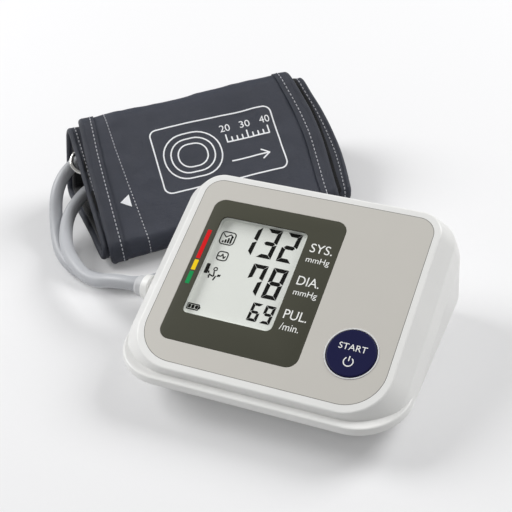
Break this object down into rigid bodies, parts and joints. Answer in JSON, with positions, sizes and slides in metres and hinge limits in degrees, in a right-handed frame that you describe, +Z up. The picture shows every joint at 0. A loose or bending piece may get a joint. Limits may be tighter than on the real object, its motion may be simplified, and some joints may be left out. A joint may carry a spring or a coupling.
{
  "type": "home blood pressure monitor",
  "caption": "Tabletop blood pressure monitor with a sloping display panel and start button, and a hose to a rolled upper-arm cuff beside it.",
  "frame": {"origin": "on the table, under the middle of the housing's outline", "axes": "+X across the housing to its right, +Y to its back, +Z up"},
  "size_m": [0.2425, 0.2243, 0.0599],
  "materials": {
    "case_white": "fine satin moulding",
    "panel_grey": "satin printed plate",
    "window_smoke": "gloss clear plate with a dark printed border",
    "lcd_grey": "matt reflective display",
    "holder_white": "moulded",
    "strip_pink": "soft",
    "board_green": "solder resist",
    "chip_black": "moulded",
    "steel": "zinc plated",
    "button_navy": "satin",
    "cell_jacket": "plain jacket",
    "jack_black": "moulded",
    "tube_silicone": "soft",
    "pump_grey": "moulded",
    "foam_black": "soft foam",
    "foot_grey": "soft",
    "collar_grey": "satin",
    "hose_grey": "satin",
    "cuff_navy": "fine woven nylon",
    "bladder_film": "film",
    "ring_chrome": "polished"
  },
  "bodies": {
    "monitor": {"upper_case": "case_white", "lower_case": "case_white", "face_panel": "panel_grey", "display_window": "window_smoke", "lcd_glass": "lcd_grey", "lcd_holder": "holder_white", "contact_strips": "strip_pink", "circuit_board": "board_green", "board_screws": "steel", "board_parts": "chip_black", "buzzer": "chip_black", "tact_switch": "chip_black", "batteries": "cell_jacket", "battery_contacts": "steel", "dc_jack": "jack_black", "air_socket": "holder_white", "air_manifold": "holder_white", "pump_tube": "tube_silicone", "valve_tube": "tube_silicone", "exhaust_valve": "pump_grey", "valve_bracket": "steel", "leak_valve": "holder_white", "pressure_sensor": "chip_black", "pump_motor": "steel", "pump_head": "pump_grey", "pump_cushion": "foam_black", "rubber_feet": "foot_grey", "case_screws": "steel"},
    "button": {"start_button": "button_navy"},
    "cover": {"battery_cover": "case_white"},
    "cuff_set": {"air_plug": "case_white", "plug_collar": "collar_grey", "air_hose": "hose_grey", "cuff_outer_wrap": "cuff_navy", "cuff_inner_wrap": "cuff_navy", "air_bladder": "bladder_film", "ring_sleeve": "cuff_navy", "hose_port": "collar_grey"},
    "ring": {"cuff_ring": "ring_chrome"}
  },
  "joints": [
    {"name": "button_press", "type": "slide", "parent": "monitor", "child": "button", "axis": [0, 0.342, -0.9397], "range_m": [0, 0.0009], "stiffness_N_per_m": 900, "springref_m": -0.0005},
    {"name": "cover_slide", "type": "slide", "parent": "monitor", "child": "cover", "axis": [0, 1, 0], "range_m": [0, 0.01]},
    {"name": "plug_pull", "type": "slide", "parent": "monitor", "child": "cuff_set", "axis": [-1, 0, 0], "range_m": [0, 0.018]},
    {"name": "ring_swing", "type": "hinge", "parent": "cuff_set", "child": "ring", "pos_m": [-0.1512, 0.07519, 0.03918], "axis": [0.7705, 0.6374, 0], "range_deg": [0, 20]}
  ]
}
